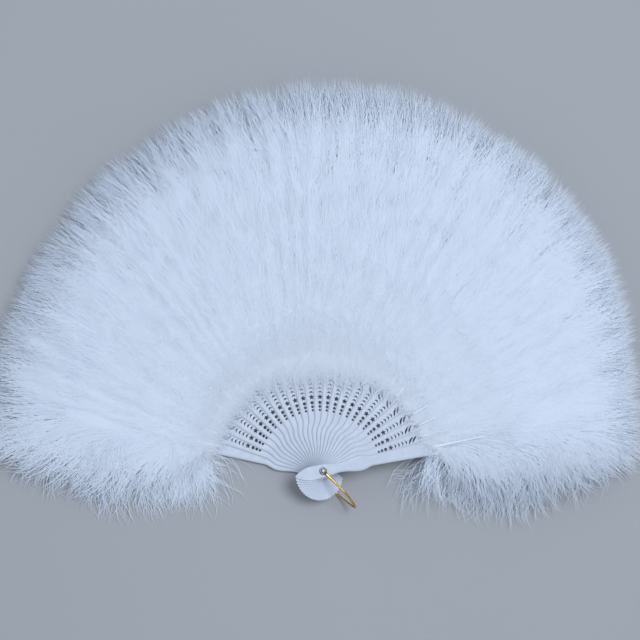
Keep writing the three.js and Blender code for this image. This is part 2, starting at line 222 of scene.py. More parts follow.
def inset(loop, depth):
    """A closed loop moved to the left of its travel: each corner goes along the mean of the normals
    of its two edges, lengthened so that the edges keep that depth, up to twice over."""
    ahead = np.roll(loop, -1, axis=0) - loop
    ahead /= np.linalg.norm(ahead, axis=1, keepdims=True)
    normal = np.stack([-ahead[:, 1], ahead[:, 0]], axis=1)
    mean = normal + np.roll(normal, 1, axis=0)
    mean /= np.linalg.norm(mean, axis=1, keepdims=True)
    stretch = 1 / np.maximum((mean * normal).sum(axis=1), 1 / 2)
    return loop + (depth * stretch)[:, None] * mean


def pierced_plate(outline, holes, bottom, top):
    """A plate between two heights, with its faces filled between the loops. Each loop is carried up a
    quarter circle at the lower face and a quarter ellipse at the upper one, which draw it into the
    plate. The ellipse of the outline is wide and low, except on the tail, so that the plate looks
    softly crowned."""
    points, quads, bottoms, tops = [], [], [], []
    base = 0
    for loop in [outline, *holes]:
        if loop is outline:
            steps, edge, crown = STICK_EDGE_STEPS, STICK_EDGE, CROWN_HEIGHT
            fade = np.clip((loop[:, 0] + TAIL_SHOULDER) / NECK_AT, TAIL_CROWN_SHARE, 1)
            width = fade * np.minimum(CROWN_WIDTH, CROWN_SHARE * np.abs(loop[:, 1]))
        else:
            steps, edge, crown, width = HOLE_EDGE_STEPS, HOLE_EDGE, HOLE_EDGE, HOLE_EDGE
        quarter = np.linspace(0, np.pi / 2, steps)
        sunk, raised = 1 - np.sin(quarter), 1 - np.cos(quarter)
        lower = [(edge * inward, bottom + edge * up) for inward, up in zip(sunk, raised)]
        upper = [(width * inward, top - crown * up) for inward, up in zip(sunk[::-1], raised[::-1])]
        rings = [
            np.column_stack([inset(loop, depth), np.full(len(loop), height)])
            for depth, height in lower + upper
        ]
        index = base + np.arange(len(rings) * len(loop)).reshape(len(rings), len(loop))
        quads.append(ring_faces(index))
        points += rings
        bottoms.append(index[0])
        tops.append(index[-1])
        base += index.size
    points = np.concatenate(points)
    fill = np.array(tessellate_polygon([points[ring].tolist() for ring in tops]))
    flat = points[np.concatenate(tops)][fill][..., :2]
    first, second = flat[:, 1] - flat[:, 0], flat[:, 2] - flat[:, 0]
    turn = first[:, 0] * second[:, 1] - first[:, 1] * second[:, 0]
    fill = np.where(turn[:, None] > 0, fill, fill[:, ::-1])
    triangles = np.concatenate([np.concatenate(tops)[fill], np.concatenate(bottoms)[fill[:, ::-1]]])
    return points, np.concatenate(quads), triangles


def new_finish(name):
    """A new material, its tree of nodes and its shader."""
    material = bpy.data.materials.new(name)
    material.use_nodes = True
    tree = material.node_tree
    return material, tree, tree.nodes["Principled BSDF"]


def set_inputs(node, values):
    """Gives inputs of a node their values, by the inputs' names."""
    for name, value in values.items():
        node.inputs[name].default_value = value


def feed(node, name, value):
    """Links a value to an input of a node, by the input's name or number."""
    node.id_data.links.new(value, node.inputs[name])


def new_node(tree, kind, values):
    """A new node of a kind, with the values of some of its inputs."""
    node = tree.nodes.new(kind)
    set_inputs(node, values)
    return node


def own_place(tree):
    """The place of a point in the piece's own coordinates, for patterns."""
    return tree.nodes.new("ShaderNodeTexCoord").outputs["Object"]


def noise(tree, scale, detail):
    """A noise pattern of about 1 / scale metres, with its value from 0 to 1."""
    node = new_node(tree, "ShaderNodeTexNoise", {"Scale": scale, "Detail": detail})
    feed(node, "Vector", own_place(tree))
    return node.outputs["Fac"]


def ramp(tree, value, colour_low, colour_high, low=0.3, high=0.7):
    """A colour that goes from one to the other as a value goes from low to high."""
    node = tree.nodes.new("ShaderNodeValToRGB")
    node.color_ramp.elements[0].position = low
    node.color_ramp.elements[0].color = colour_low
    node.color_ramp.elements[1].position = high
    node.color_ramp.elements[1].color = colour_high
    feed(node, "Fac", value)
    return node.outputs["Color"]


def span(tree, value, low, high):
    """A number that goes from low to high as a pattern's value goes from 0.3 to 0.7."""
    ends = {"From Min": 0.3, "From Max": 0.7, "To Min": low, "To Max": high}
    node = new_node(tree, "ShaderNodeMapRange", ends)
    feed(node, "Value", value)
    return node.outputs["Result"]


def bumped(tree, shader, value, strength, distance):
    """Tilts the shading as if a pattern's value raised the surface by up to a distance."""
    node = new_node(tree, "ShaderNodeBump", {"Strength": strength, "Distance": distance})
    feed(node, "Height", value)
    feed(shader, "Normal", node.outputs["Normal"])


plastic, tree, shader = new_finish("white satin plastic")
cloud = noise(tree, scale=70, detail=4)
feed(shader, "Base Color", ramp(tree, cloud, PLASTIC_SHADE, PLASTIC))
gloss = noise(tree, scale=240, detail=3)
feed(shader, "Roughness", span(tree, gloss, low=0.30, high=0.44))
set_inputs(shader, {"Subsurface Weight": 0.12, "Subsurface Radius": (0.0012, 0.0012, 0.0013)})
bumped(tree, shader, noise(tree, scale=900, detail=3), strength=0.08, distance=0.0002)

outline = stick_outline()
pin_hole = ring_hole(0, PIN_HOLE, PIN_HOLE_CORNERS)
stave_holes = [pin_hole, *blade_holes()]
for stick in sticks:
    holes = [pin_hole] if stick["name"] in guard_names else stave_holes
    points, quads, triangles = pierced_plate(outline, holes, stick["level"], stick["top"])
    points = turned(points, stick["angle"])
    piece = new_piece(stick["name"] + "_moulding", points, quads, triangles, plastic, (True, False))
    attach(piece, body_of[stick["name"]])
    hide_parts(stick["name"])

# Rivet: a steel pin with a small domed head at each end, closed over the eyes of the bail.
# It is turned, so its surface is one profile carried round the Z axis.
PIN_RADIUS = 0.0012
HEAD_RADIUS = 0.0020
HEAD_THICKNESS = 0.0007
HEAD_SEAT_SHARE = 0.98
DOME_POWER = 0.6
DOME_STEPS = 8
REAR_DOME_SHARE = 0.5
RIVET_SIDES = 48
STEEL = (0.36, 0.36, 0.37, 1.0)
STEEL_SHADE = (0.20, 0.20, 0.22, 1.0)


def closed_tube(rings, ends):
    """A tube through rings of points, with four-cornered faces between each ring and the next, closed
    at both ends by triangles that meet in an end point."""
    index = np.arange(rings.shape[0] * rings.shape[1]).reshape(rings.shape[:2])
    beside = np.roll(index, -1, axis=1)
    hub = np.full(rings.shape[1], index.size)
    start = np.stack([hub, beside[0], index[0]], axis=1)
    close = np.stack([hub + 1, index[-1], beside[-1]], axis=1)
    points = np.concatenate([rings.reshape(-1, 3), ends])
    return points, ring_faces(index), np.concatenate([start, close])


def revolved(profile, count):
    """A profile of (radius, height) carried round the Z axis, closed on the axis at the heights of
    its first and last points."""
    turn = full_turn(count)
    ring = profile[1:-1]
    x = ring[:, None, 0] * np.cos(turn)
    y = ring[:, None, 0] * np.sin(turn)
    z = np.repeat(ring[:, 1:2], count, axis=1)
    ends = np.array([[0, 0, profile[0, 1]], [0, 0, profile[-1, 1]]])
    return closed_tube(np.stack([x, y, z], axis=-1), ends)


steel, tree, shader = new_finish("polished steel")
set_inputs(shader, {"Metallic": 1.0})
wear = noise(tree, scale=1500, detail=4)
feed(shader, "Base Color", ramp(tree, wear, STEEL_SHADE, STEEL, low=0.35, high=0.65))
feed(shader, "Roughness", span(tree, wear, low=0.3, high=0.46))

pin_low, pin_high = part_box("pivot_pin")
dome = np.linspace(0, np.pi / 2, DOME_STEPS)
dome_radius = HEAD_RADIUS * np.cos(dome) ** DOME_POWER
dome_drop = HEAD_THICKNESS * (1 - np.sin(dome))
rear_head = np.stack([dome_radius, pin_low.z + dome_drop * REAR_DOME_SHARE], axis=1)[::-1]
front_head = np.stack([dome_radius, pin_high.z - dome_drop], axis=1)
shank = np.array([
    [HEAD_RADIUS, pin_low.z + HEAD_THICKNESS],
    [PIN_RADIUS, pin_low.z + HEAD_THICKNESS],
    [PIN_RADIUS, pin_high.z - HEAD_THICKNESS],
    [HEAD_RADIUS * HEAD_SEAT_SHARE, pin_high.z - HEAD_THICKNESS],
])
rivet_profile = np.concatenate([rear_head, shank, front_head])
rivet = new_piece("rivet", *revolved(rivet_profile, RIVET_SIDES), steel, (True, True))
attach(rivet, body_of["pivot_pin"])
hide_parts("pivot_pin")

# Bail: one brass wire bent into a long U, with both ends hammered into flat eyes on the rivet.
# One leg lies over the front guard and the other under the rear guard.
WIRE_RADIUS = 0.00085
WIRE_SIDES = 16
EYE_RADIUS = 0.0030
EYE_THICKNESS = 0.0010
EYE_SIDES = 40
EYE_SECTION_STEPS = 16
EYE_SECTION_POWER = 0.5
BAIL_REACH = 0.0410
BAIL_STRAIGHT = 0.0240
BAIL_SHOULDER = 0.0270
BAIL_NOSE = 0.0050
BAIL_ANGLE = np.radians(-43)
LEG_STEPS = 16
BEND_STEPS = 30
BEATEN_LENGTH = 0.016
BEATEN_WIDENING = 0.5
BEATEN_FLATTENING = 0.45
WORN_AND_SHADED_LENGTH = 0.0015
BRASS = (0.92, 0.58, 0.17, 1.0)
BRASS_SHADE = (0.70, 0.38, 0.09, 1.0)
# The eyes' colour: grey where the hammered wire's plating is worn, darkened further as painted shade so that each
# eye reads as a dark ring round the rivet and reflects less of the lamp.
WORN_AND_PAINTED_SHADE = (0.15, 0.13, 0.10, 1.0)
NO_TRIANGLES = np.zeros((0, 3), int)


def swept(path, radii, count):
    """A round section of a given width and height at each point of a path in the XZ plane, carried
    along it square to the path, with a point at each end."""
    ahead = np.gradient(path, axis=0)
    ahead /= np.linalg.norm(ahead, axis=1, keepdims=True)
    turn = full_turn(count)
    across = radii[:, None, 0] * np.cos(turn)
    out = radii[:, None, 1] * np.sin(turn)
    x = path[:, None, 0] - out * ahead[:, None, 1]
    z = path[:, None, 1] + out * ahead[:, None, 0]
    ends = np.array([[path[0, 0], 0, path[0, 1]], [path[-1, 0], 0, path[-1, 1]]])
    return closed_tube(np.stack([x, across, z], axis=-1), ends)


def squarish(wave, power):
    """A sine or cosine with its size raised to a power below one, which makes a round squarer."""
    return np.abs(wave) ** power * np.sign(wave)


def flat_ring(inner, outer, thickness, level, count):
    """A flat ring with round edges: a superellipse section carried round the Z axis."""
    section = full_turn(EYE_SECTION_STEPS)
    radius = (inner + outer) / 2 + (outer - inner) / 2 * squarish(np.cos(section), EYE_SECTION_POWER)
    height = level + thickness / 2 * (1 + squarish(np.sin(section), EYE_SECTION_POWER))
    turn = full_turn(count)
    x = radius * np.cos(turn)[:, None]
    y = radius * np.sin(turn)[:, None]
    z = np.repeat(height[None], count, axis=0)
    index = np.arange(x.size).reshape(x.shape)
    beside = np.roll(index, -1, axis=0)
    quads = np.stack([index, beside, np.roll(beside, -1, axis=1), np.roll(index, -1, axis=1)], axis=-1)
    return np.stack([x, y, z], axis=-1).reshape(-1, 3), quads.reshape(-1, 4), NO_TRIANGLES


def joined(meshes):
    """Several meshes as one: their points in a row, and their faces with the point numbers moved up
    by the count of points that come before."""
    all_points, all_quads, all_triangles = [], [], []
    base = 0
    for points, quads, triangles in meshes:
        all_points.append(points)
        all_quads.append(quads + base)
        all_triangles.append(triangles + base)
        base += len(points)
    return np.concatenate(all_points), np.concatenate(all_quads), np.concatenate(all_triangles)


brass, tree, shader = new_finish("brass wire")
set_inputs(shader, {"Metallic": 1.0})
flat_place = tree.nodes.new("ShaderNodeVectorMath")
flat_place.operation = "MULTIPLY"
flat_place.inputs[1].default_value = (1, 1, 0)
feed(flat_place, 0, own_place(tree))
from_rivet = tree.nodes.new("ShaderNodeVectorMath")
from_rivet.operation = "LENGTH"
feed(from_rivet, 0, flat_place.outputs["Vector"])
# Within the eyes the brass gives way to the dark eye colour: worn plating, darkened as painted shade.
worn_and_shaded_span = {"From Min": EYE_RADIUS, "From Max": EYE_RADIUS + WORN_AND_SHADED_LENGTH}
worn_and_shaded_end = new_node(tree, "ShaderNodeMapRange", worn_and_shaded_span)
feed(worn_and_shaded_end, "Value", from_rivet.outputs["Value"])
plating = tree.nodes.new("ShaderNodeMix")
plating.data_type = "RGBA"
plating.inputs["A"].default_value = WORN_AND_PAINTED_SHADE
feed(plating, "Factor", worn_and_shaded_end.outputs["Result"])
tarnish = noise(tree, scale=420, detail=5)
feed(plating, "B", ramp(tree, tarnish, BRASS_SHADE, BRASS, low=0.38, high=0.62))
feed(shader, "Base Color", plating.outputs["Result"])
gloss = noise(tree, scale=2200, detail=3)
feed(shader, "Roughness", span(tree, gloss, low=0.26, high=0.4))
bumped(tree, shader, noise(tree, scale=1400, detail=2), strength=0.1, distance=0.0001)

bail_low, bail_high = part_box("bail")
front_leg = bail_high.z - WIRE_RADIUS
rear_leg = bail_low.z + WIRE_RADIUS
middle, half_height = (front_leg + rear_leg) / 2, (front_leg - rear_leg) / 2
leg = np.linspace(HEAD_RADIUS, BAIL_STRAIGHT, LEG_STEPS)[:-1]
leg = np.stack([leg, np.full(len(leg), half_height)], axis=1)
share = np.linspace(0, 1, BEND_STEPS)[:, None]
bend = (
    (1 - share) ** 3 * [BAIL_STRAIGHT, half_height]
    + 3 * (1 - share) ** 2 * share * [BAIL_SHOULDER, half_height]
    + 3 * (1 - share) * share**2 * [BAIL_REACH, BAIL_NOSE]
    + share**3 * [BAIL_REACH, 0]
)
upper = np.concatenate([leg, bend])
wire_path = np.concatenate([upper, upper[-2::-1] * [1, -1]]) + [0, middle]
beaten = 1 - np.clip((wire_path[:, 0] - HEAD_RADIUS) / BEATEN_LENGTH, 0, 1)
widths = np.stack([1 + BEATEN_WIDENING * beaten, 1 - BEATEN_FLATTENING * beaten**3], axis=1)
wire = swept(wire_path, WIRE_RADIUS * widths, WIRE_SIDES)
front_level = bail_high.z - 2 * WIRE_RADIUS
front_eye = flat_ring(PIN_HOLE, EYE_RADIUS, EYE_THICKNESS, front_level, EYE_SIDES)
rear_eye = flat_ring(PIN_HOLE, EYE_RADIUS, EYE_THICKNESS, bail_low.z, EYE_SIDES)
points, quads, triangles = joined([wire, front_eye, rear_eye])
points = turned(points, BAIL_ANGLE)
bail = new_piece("wire_bail", points, quads, triangles, brass, (True, True))
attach(bail, body_of["bail"])
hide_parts("bail")

# Spacing ribbon: a narrow woven band glued behind the strips, which stops the fan when it is open.
# It is made in one length per stick, each with half of the free span to either neighbour.
RIBBON_THICKNESS = 0.00006
RIBBON_SEAT = 0.00002
RIBBON_STEPS = 21
RIBBON_COLOUR = (0.80, 0.84, 0.92, 1.0)
RIBBON_SHADE = (0.62, 0.67, 0.78, 1.0)


def corner_reach(name):
    """How far each corner of a node's solid is from the Z axis."""
    corners = frame["nodes"][name].data.vertices
    numbers = np.empty(3 * len(corners), np.float32)
    corners.foreach_get("co", numbers)
    points = numbers.reshape(-1, 3).astype(float)
    return np.hypot(points[:, 0], points[:, 1])


ribbon_white, tree, shader = new_finish("woven ribbon")
checks = {"Scale": 2500, "Color1": RIBBON_COLOUR, "Color2": RIBBON_SHADE}
weave = new_node(tree, "ShaderNodeTexChecker", checks)
feed(weave, "Vector", own_place(tree))
feed(shader, "Base Color", weave.outputs["Color"])
set_inputs(shader, {"Roughness": 0.7, "Sheen Weight": 0.3})
bumped(tree, shader, weave.outputs["Fac"], strength=0.3, distance=0.0001)

ribbon_reach = corner_reach("spacing_ribbon")
inner, outer = ribbon_reach.min(), ribbon_reach.max()
radius = np.array([inner, outer, outer, inner])
drop = np.array([RIBBON_THICKNESS, RIBBON_THICKNESS, 0, 0])
strip_swing = np.arcsin(STRIP_HALF / inner)
stick_step = sticks[2]["level"] - sticks[1]["level"]
for stick in sticks:
    swing = np.linspace(-pitch / 2, pitch / 2, RIBBON_STEPS)
    if stick is sticks[0]:
        swing = swing[swing < strip_swing]
    if stick is sticks[-1]:
        swing = swing[swing > -strip_swing]
    beyond_strip = np.abs(swing) * inner - STRIP_HALF
    free = np.clip(beyond_strip / (pitch / 2 * inner - STRIP_HALF), 0, 1)
    climb = -np.sign(swing) * stick_step / 2 * free
    top = stick["level"] - RIBBON_SEAT + climb
    x = radius * np.cos(swing)[:, None]
    y = radius * np.sin(swing)[:, None]
    z = top[:, None] - drop
    index = np.arange(x.size).reshape(x.shape)
    ends = np.stack([index[0], index[-1][::-1]])
    quads = np.concatenate([ring_faces(index)[:, ::-1], ends])
    points = turned(np.stack([x, y, z], axis=-1).reshape(-1, 3), stick["angle"])
    piece = new_piece(stick["name"] + "_ribbon", points, quads, NO_TRIANGLES, ribbon_white)
    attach(piece, body_of[stick["name"]])
    if stick is sticks[0]:
        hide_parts("spacing_ribbon")

# Plumes: soft white down on a glossy quill, which is glued on the front of each stick's strip.
# A plume is a loose core, fine barbs that lie over it, a fringe of free barbs at the rim, and
# short fluff that lies back over the blade. The two outer plumes also hang down past the guards.
DOWN = (0.94, 0.97, 1.0, 1.0)
DOWN_SHADE = (0.76, 0.81, 0.89, 1.0)
QUILL = (0.97, 0.98, 1.0, 1.0)
QUILL_SHADE = (0.88, 0.91, 0.96, 1.0)

down, tree, shader = new_finish("white down")
# Each barb's colour follows its tone: random from barb to barb, and painted lighter on the fluff as painted light
# over the shade among its strands.
barb_tone = tree.nodes.new("ShaderNodeAttribute")
barb_tone.attribute_name = "tone"
shade = ramp(tree, barb_tone.outputs["Fac"], DOWN_SHADE, DOWN, low=0.0, high=1.0)
feed(shader, "Base Color", shade)
set_inputs(shader, {"Roughness": 0.85, "Specular IOR Level": 0.2})
set_inputs(shader, {"Sheen Weight": 0.35, "Sheen Roughness": 0.5})

horn, tree, shader = new_finish("glossy quill")
grain = noise(tree, scale=300, detail=3)
feed(shader, "Base Color", ramp(tree, grain, QUILL_SHADE, QUILL))
feed(shader, "Roughness", span(tree, grain, low=0.12, high=0.24))

# The reach of each plume, evened out with its neighbours', and the turn to the left that its down is
# combed with. The plumes left of the middle are combed furthest, and all but the outermost vary.
TIP_SHARE = 0.998
TIP_EVENING = (0.25, 0.5, 0.25)
COMB_TURN = np.radians(16)
COMB_PLACE = 8
COMB_SPREAD = 4.5
COMB_CHANCE = np.radians(8)
COMB_SEED = 500
plume_names = ["plume_" + name[-2:] if name in stave_names else name + "_plume" for name in stick_names]
tips = [corner_reach(name).max() * TIP_SHARE for name in plume_names]
tips = np.convolve(np.pad(tips, 1, mode="edge"), TIP_EVENING, mode="valid")
places = np.arange(len(tips))
combed = COMB_TURN * np.exp(-(((places - COMB_PLACE) / COMB_SPREAD) ** 2))
chance = np.random.default_rng(COMB_SEED).normal(0, COMB_CHANCE, len(tips))
combed += chance * np.sin(np.pi * places / places[-1])

# The space that the down fills.
PLUME_ROOT = 0.0982
FLUFF_START = 0.0905
FRONT_SETBACK = 0.0045
FLUFF_GROWTH = 0.0900
ROOT_RISE = 0.0018
FLUFF_RISE = 0.0195
TIP_RISE = 0.0090
RIM_SLOPE = 0.0500
RIM_PAST = 1.15
LOBE_ROOT = 0.0300
LOBE_WIDTH = 0.0700
LOBE_POWER = 6
LOBE_FALL = 0.8
LOBE_FALL_POWER = 2.2
FOLD_HEIGHT = 0.0005
FOLDS_ROUND = 66
FOLD_LENGTH = 0.024
FOLD_WANDER = 4
FOLD_WANDERS_ROUND = 11
TUFT_HEIGHT = 0.0009
TUFTS_ROUND = 21
TUFT_LENGTH = 0.0078
TUFT_SWAY = 2.2
TUFT_SWAY_LENGTH = 0.017
TUFT_SHIFT = 2.6
TUFT_SHIFTS_ROUND = 9
LOBE_FOLD_FADE = 0.015
VEIL_PLACES = (0, 4, 8, 11.5, 15, 19, 24)
VEIL_SHARES = (0.42, 0.52, 0.68, 1.0, 0.62, 0.30, 0.14)


class Plume:
    """The space that the down of one stick fills, in the stick's own frame: u runs along the stick,
    v to its left and w up from the stick's lower face."""

    def __init__(self, stick):
        """The plume's ends and heights, and its veil: straight lines between a few places' shares."""
        self.place = stick["place"]
        self.angle = stick["angle"]
        self.level = stick["level"]
        self.thickness = stick["top"] - self.level
        self.table = -self.level
        self.left_lobe = stick is sticks[0]
        self.right_lobe = stick is sticks[-1]
        self.start = FLUFF_START + (FRONT_SETBACK if self.right_lobe else 0)
        self.tip = tips[self.place]
        self.veil = np.interp(self.place, VEIL_PLACES, VEIL_SHARES)

    def set_in_fan(self, points):
        """Points of the stick's own frame, raised to its level and turned to its place in the fan."""
        return turned(points + [0, 0, self.level], self.angle)

    def between(self, values, u, v):
        """One value of each plume, read in the direction of a point: straight lines between the
        values of neighbouring plumes."""
        return np.interp(self.place - np.arctan2(v, u) / pitch, places, values)

    def share(self, u):
        """How far along the plume a point is, from 0 at its root to 1 at its tip."""
        return np.clip((u - PLUME_ROOT) / (self.tip - PLUME_ROOT), 0, 1)

    def hangs(self, v):
        """Whether v is on the side of a guard's hanging lobe."""
        return np.where(v > 0, self.left_lobe, self.right_lobe)

    def half(self, u, v):
        """Half width on the side that v is on: half the sector, or the hanging lobe of a guard, which
        widens from its root by a power of the share."""
        sector = u * np.tan(pitch / 2)
        lobe = LOBE_WIDTH - (LOBE_WIDTH - LOBE_ROOT) * (1 - self.share(u)) ** LOBE_POWER
        return np.where(self.hangs(v), np.maximum(lobe, sector), sector)

    def rise(self, u):
        """Height over the stick: a smooth S up from the end of the blade, less a parabola at the rim."""
        grown = np.clip((u - self.start) / FLUFF_GROWTH, 0, 1)
        rim = np.clip((u - self.tip + RIM_SLOPE) / RIM_SLOPE, 0, RIM_PAST)
        full = ROOT_RISE + (FLUFF_RISE - ROOT_RISE) * grown**2 * (3 - 2 * grown)
        return full - (FLUFF_RISE - TIP_RISE) * rim**2

    def cover(self, u, v):
        """Upper surface: the rise, sloped across to meet the neighbours, which lie one step lower on
        the left and higher on the right, or drawn down to the table in a lobe. Soft folds run
        outwards over it: a sine wave round the rivet, with a phase that wanders. The down also
        swells and sinks in tufts: a product of longer waves round the rivet and along the radius."""
        side = np.clip(np.abs(v) / self.half(u, v), 0, 1)
        height = self.thickness + self.rise(u)
        crown = height - stick_step * np.arctan2(v, u) / pitch
        lobe = self.table + (height - self.table) * (1 - LOBE_FALL * side**LOBE_FALL_POWER)
        around = self.angle + np.arctan2(v, u)
        radius = np.hypot(u, v)
        wander = FOLD_WANDER * np.sin(FOLD_WANDERS_ROUND * around)
        wave = np.sin(FOLDS_ROUND * around + wander + radius / FOLD_LENGTH)
        sway = TUFT_SWAY * np.sin(radius / TUFT_SWAY_LENGTH)
        shift = TUFT_SHIFT * np.sin(TUFT_SHIFTS_ROUND * around)
        tuft = np.sin(TUFTS_ROUND * around + sway) * np.sin(radius / TUFT_LENGTH + shift)
        relief = self.rise(u) / FLUFF_RISE * (FOLD_HEIGHT * wave + TUFT_HEIGHT * tuft)
        lobe = lobe + relief * np.exp(-np.abs(v) / LOBE_FOLD_FADE)
        return np.where(self.hangs(v), lobe, crown + relief)


# The stations of a barb that lies on the core and of a free one, and how thick a barb is along it.
LAID = np.array([0.0, 0.25, 0.52, 0.78, 1.0])
FREE = np.array([0.0, 0.22, 0.42, 0.62, 0.82, 1.0])
BARB_FLATNESS = 0.18
BARB_STATIONS = (0, 0.3, 0.7, 1)
BARB_THICKNESSES = (0.7, 1, 0.85, 0.4)


def strand_paths(u, v, heading, curl, phase, sway, length, stations):
    """Level paths of strands: steps along a heading that turns evenly by curl, and sways in one sine
    wave of a given phase."""
    middle = (stations[1:] + stations[:-1]) / 2
    turn = heading[:, None] + curl[:, None] * middle + sway * np.sin(2 * np.pi * middle + phase[:, None])
    step = np.diff(stations) * length[:, None]
    start = np.zeros((len(u), 1))
    uu = u[:, None] + np.hstack([start, np.cumsum(np.cos(turn) * step, axis=1)])
    vv = v[:, None] + np.hstack([start, np.cumsum(np.sin(turn) * step, axis=1)])
    return uu, vv


def strand_mesh(lines, radius):
    """Closed tapered strands along lines of points. The section is a low triangle square to the
    strand, which narrows to a point at the far end."""
    count, stations = lines.shape[:2]
    ahead = np.gradient(lines, axis=1)
    ahead /= np.linalg.norm(ahead, axis=2, keepdims=True)
    across = np.cross(ahead, [0.0, 0.0, 1.0])
    across /= np.maximum(np.linalg.norm(across, axis=2, keepdims=True), 1e-6)
    out = np.cross(across, ahead)
    thinning = np.interp(np.linspace(0, 1, stations)[:-1], BARB_STATIONS, BARB_THICKNESSES)
    width = (radius[:, None] * thinning)[..., None]
    body = lines[:, :-1]
    side, over = across[:, :-1] * width, out[:, :-1] * width * BARB_FLATNESS
    rings = np.stack([body - side - 0.5 * over, body + side - 0.5 * over, body + over], axis=2)
    points = np.concatenate([rings.reshape(count, -1, 3), lines[:, -1:]], axis=1)
    per_strand = points.shape[1]
    index = np.arange((stations - 1) * 3).reshape(stations - 1, 3)
    far_end = np.stack([index[-1], np.roll(index[-1], -1), np.full(3, per_strand - 1)], axis=1)
    triangles = np.concatenate([index[:1, ::-1], far_end])
    first = (np.arange(count) * per_strand)[:, None, None]
    quads = ring_faces(index) + first
    return points.reshape(-1, 3), quads.reshape(-1, 4), (triangles + first).reshape(-1, 3)


# How far the fringe of free barbs reaches past the tip, how deep it is there and in a lobe, and the
# core, which ends inside it.
FRINGE = 0.0160
FRINGE_DEPTH = 0.0560
LOBE_FRINGE = 0.0360
CORE_DEPTH = 0.0006
CORE_START = 0.0015
CORE_REACH = 0.021
CORE_TAPER = 0.26
CORE_TAPER_POWER = 0.7
CORE_TIP_SHARE = 0.03
CORE_WEDGE = 0.022
CORE_SECTION_POWER = 0.6
SECTOR_OVERLAP = 1.1
CORE_FLOOR = 0.003
CORE_TIP_DROP = 0.001
END_POINT = 0.001
CORE_STEPS = 40
CORE_SIDES = 32


def core_mesh(plume):
    """Closed loft of superellipses along u, from just over the table to just inside the cover. Its top
    starts hidden in the stick's thickness and rises along a smooth S, and it tapers by a power of
    the way to its tip."""
    along = np.linspace(0, 1, CORE_STEPS)
    begin = plume.start + CORE_START
    end = plume.tip + FRINGE - FRINGE_DEPTH + CORE_REACH
    u = begin + (end - begin) * along
    taper = np.clip((1 - along) / CORE_TAPER, CORE_TIP_SHARE, 1)[:, None] ** CORE_TAPER_POWER
    wedge = np.clip((u - begin) / CORE_WEDGE, 0, 1)[:, None]
    wedge = wedge**2 * (3 - 2 * wedge)
    turn = full_turn(CORE_SIDES)
    across = squarish(np.cos(turn), CORE_SECTION_POWER)
    upright = squarish(np.sin(turn), CORE_SECTION_POWER)
    uu = np.repeat(u[:, None], CORE_SIDES, axis=1)
    sector = SECTOR_OVERLAP * uu * np.tan(pitch / 2)
    lobe = np.maximum(plume.half(uu, across) - LOBE_FRINGE, sector)
    v = across * np.where(plume.hangs(across), lobe, sector) * taper
    hidden = plume.thickness / 2
    ceiling = hidden + (plume.cover(uu, v) - CORE_DEPTH - hidden) * wedge
    floor = plume.table + CORE_FLOOR
    w = (ceiling + floor) / 2 + upright * (ceiling - floor) / 2 * taper - (1 - taper) * CORE_TIP_DROP
    near_end = [u[0] - END_POINT, 0, w[0].mean()]
    far_end = [u[-1] + END_POINT, v[-1].mean(), w[-1].mean()]
    return closed_tube(np.stack([uu, v, w], axis=-1), np.array([near_end, far_end]))


# The quills. The front guard's is bare and lies on the down for a stretch, and two more show over
# the fluff at their near ends.
QUILL_START = 0.0870
QUILL_END = 0.2000
QUILL_RADIUS = 0.0009
QUILL_TAPER = 0.75
QUILL_BLUNTNESS = 0.6
QUILL_SEAT = 0.0003
QUILL_STEPS = 28
QUILL_SIDES = 10
BARE_QUILL_START = 0.0925
BARE_QUILL_END = 0.1320
BARE_QUILL_RADIUS = 0.0012
BARE_QUILL_LIFT = 0.0012
BARE_QUILL_RAMP = 0.012
BARE_QUILL_SINK = 0.05
SHOWN_QUILLS = (21, 22)
SHOWN_QUILL_RISE = 0.0022
SHOWN_QUILL_END = 0.0990
SHOWN_QUILL_RAMP = 0.006


def quill_mesh(plume):
    """A round tube on the front of the stick, tapered evenly and cut blunt at its near end. Where it
    shows it is raised: the bare one by the rise of the down, and the others by an even ramp."""
    begin = BARE_QUILL_START if plume.right_lobe else QUILL_START
    thick = BARE_QUILL_RADIUS if plume.right_lobe else QUILL_RADIUS
    u = np.concatenate([[begin], np.linspace(begin, QUILL_END, QUILL_STEPS)])
    radius = thick * (1 - QUILL_TAPER * (u - begin) / (QUILL_END - begin))
    radius[0] *= QUILL_BLUNTNESS
    turn = full_turn(QUILL_SIDES)
    bed = np.zeros(len(u))
    if plume.right_lobe:
        bed = plume.rise(np.minimum(u, BARE_QUILL_END)) - ROOT_RISE + BARE_QUILL_LIFT
        bed -= BARE_QUILL_SINK * np.maximum(u - BARE_QUILL_END, 0)
        bed *= np.clip((u - begin) / BARE_QUILL_RAMP, 0, 1)
    if plume.place in SHOWN_QUILLS:
        bed = SHOWN_QUILL_RISE * np.clip(1 - (u - SHOWN_QUILL_END) / SHOWN_QUILL_RAMP, 0, 1)
    middle = plume.thickness + QUILL_SEAT + QUILL_RADIUS + bed
    uu = np.repeat(u[:, None], QUILL_SIDES, axis=1)
    v = radius[:, None] * np.cos(turn)
    w = middle[:, None] + radius[:, None] * np.sin(turn)
    ends = np.array([[u[0], 0, middle[0]], [u[-1] + END_POINT, 0, middle[-1]]])
    return closed_tube(np.stack([uu, v, w], axis=-1), ends)


